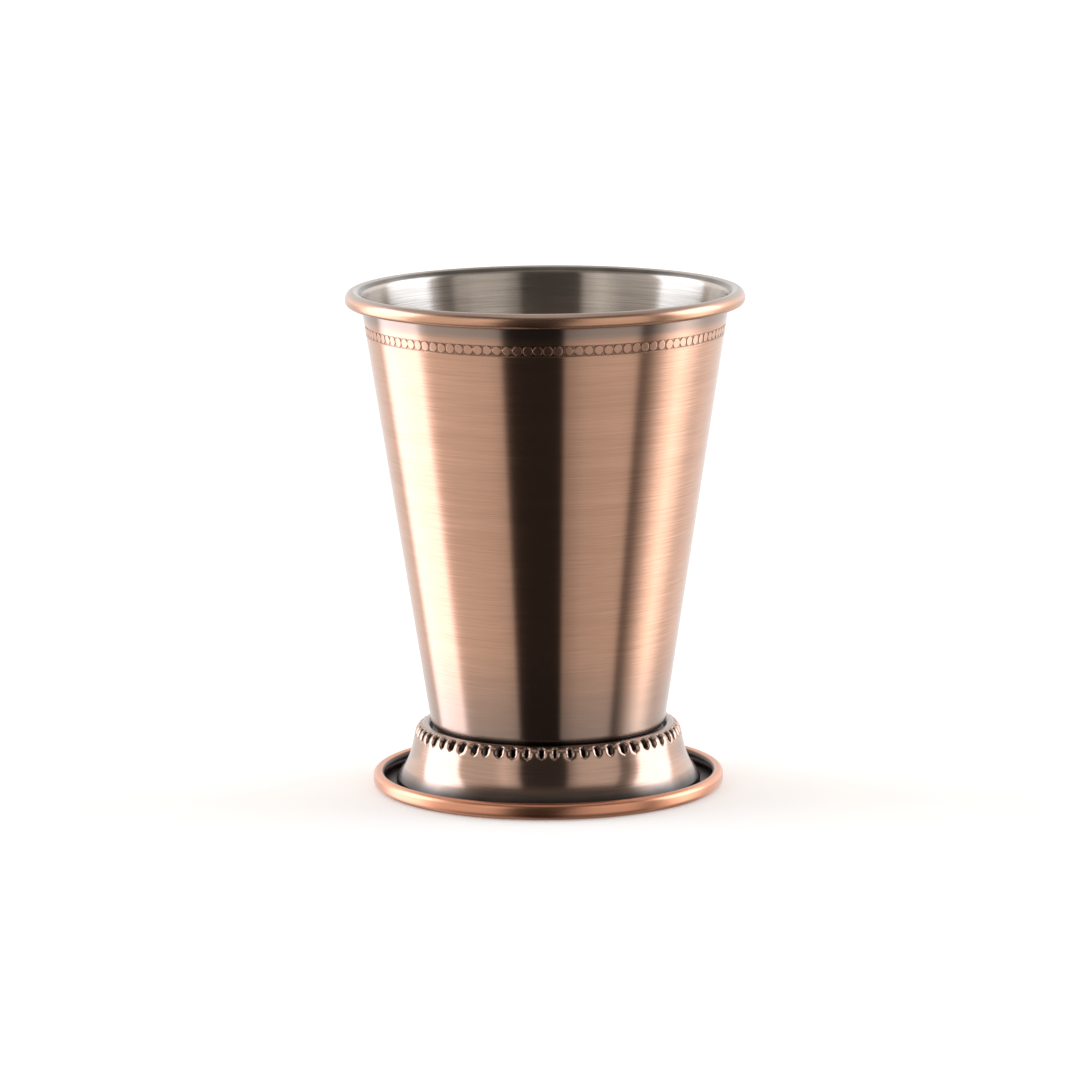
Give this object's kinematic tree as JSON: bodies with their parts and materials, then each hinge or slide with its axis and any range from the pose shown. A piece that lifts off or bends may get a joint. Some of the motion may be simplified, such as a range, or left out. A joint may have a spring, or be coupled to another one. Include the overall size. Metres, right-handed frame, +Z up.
{
  "type": "julep cup",
  "caption": "Tapered metal julep cup with a rolled rim bead, an engraved band of small circles, and a flared foot with a ribbed shoulder, for serving a cold drink over crushed ice.",
  "frame": {"origin": "on the table, under the middle of the cup", "axes": "+Z up along the cup's axis, towards the open rim; X and Y level, and every direction round the axis is alike"},
  "size_m": [0.09, 0.09, 0.1137],
  "materials": {
    "copper_plate": "steel with antique copper plating, brushed round the cup, darkened in the recesses; bare brushed steel inside",
    "braze": "as flowed, dull"
  },
  "bodies": {
    "root": {"cup_body": "copper_plate", "foot_collar": "copper_plate", "base_ring": "copper_plate", "seat_braze": "braze", "base_braze": "braze"}
  },
  "joints": []
}
